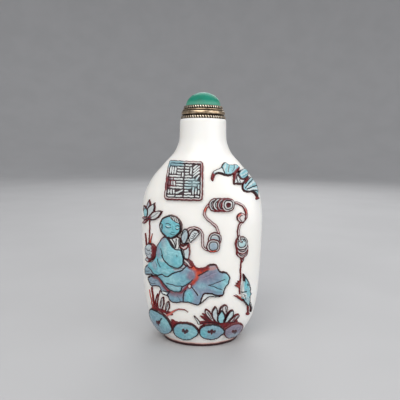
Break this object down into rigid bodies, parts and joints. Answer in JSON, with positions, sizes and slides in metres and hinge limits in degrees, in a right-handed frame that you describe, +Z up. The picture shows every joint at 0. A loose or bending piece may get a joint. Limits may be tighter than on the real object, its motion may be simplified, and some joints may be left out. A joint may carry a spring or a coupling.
{
  "type": "snuff bottle",
  "caption": "Flattened snuff bottle of opaque white glass with carved colour-overlay glass relief, a seated figure on a lotus leaf with a string of coins, and a metal-collared stopper.",
  "frame": {"origin": "under the middle of the foot, on the surface that the bottle stands on", "axes": "+Z up through the stopper, -Y out of the carved front, +X to the right of the carved front"},
  "size_m": [0.0454, 0.0319, 0.0927],
  "materials": {
    "white_glass": "opaque white glass with a soft wax-like polish, under carved turquoise and red overlay glass",
    "gilt_metal": "worn and darkened gilt metal, bright on the beads",
    "green_glass": "glossy cloudy green glass",
    "cork": "matt cork"
  },
  "bodies": {
    "root": {"glass_bottle": "white_glass", "stopper_collar": "gilt_metal", "stopper_cabochon": "green_glass", "stopper_cork": "cork"}
  },
  "joints": []
}
